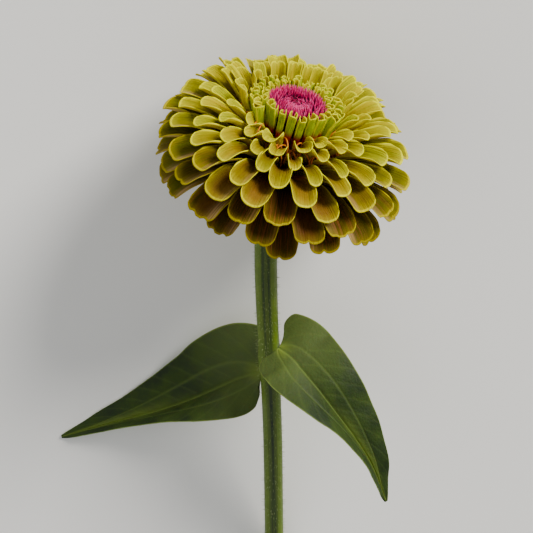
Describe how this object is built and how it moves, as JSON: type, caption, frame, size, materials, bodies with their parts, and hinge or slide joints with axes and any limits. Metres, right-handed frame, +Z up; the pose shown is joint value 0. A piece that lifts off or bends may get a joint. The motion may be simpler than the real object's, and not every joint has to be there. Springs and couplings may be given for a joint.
{
  "type": "zinnia flower",
  "caption": "Double zinnia lying on its back: yellow-green and rose ray petals in overlapping rows, a magenta disc, a green cup, a stem and a pair of leaves.",
  "frame": {"origin": "middle of the lying flower's box, on the surface that it lies on", "axes": "+Y along the stem towards the head, +Z up from the surface, +X to the right of someone who looks down with the head away from them"},
  "size_m": [0.1022, 0.1746, 0.0688],
  "materials": {
    "petals": "matt yellow-green petals with rose-brown bases",
    "disc": "matt magenta florets",
    "bracts": "satin green bracts with dark rims",
    "stem": "satin green, ridged and finely hairy",
    "leaf_left": "dull dark green with paler veins",
    "leaf_right": "dull green with paler veins"
  },
  "bodies": {
    "root": {"ray_petals": "petals", "disc": "disc", "involucre": "bracts", "stem": "stem", "leaf_left": "leaf_left", "leaf_right": "leaf_right"}
  },
  "joints": []
}
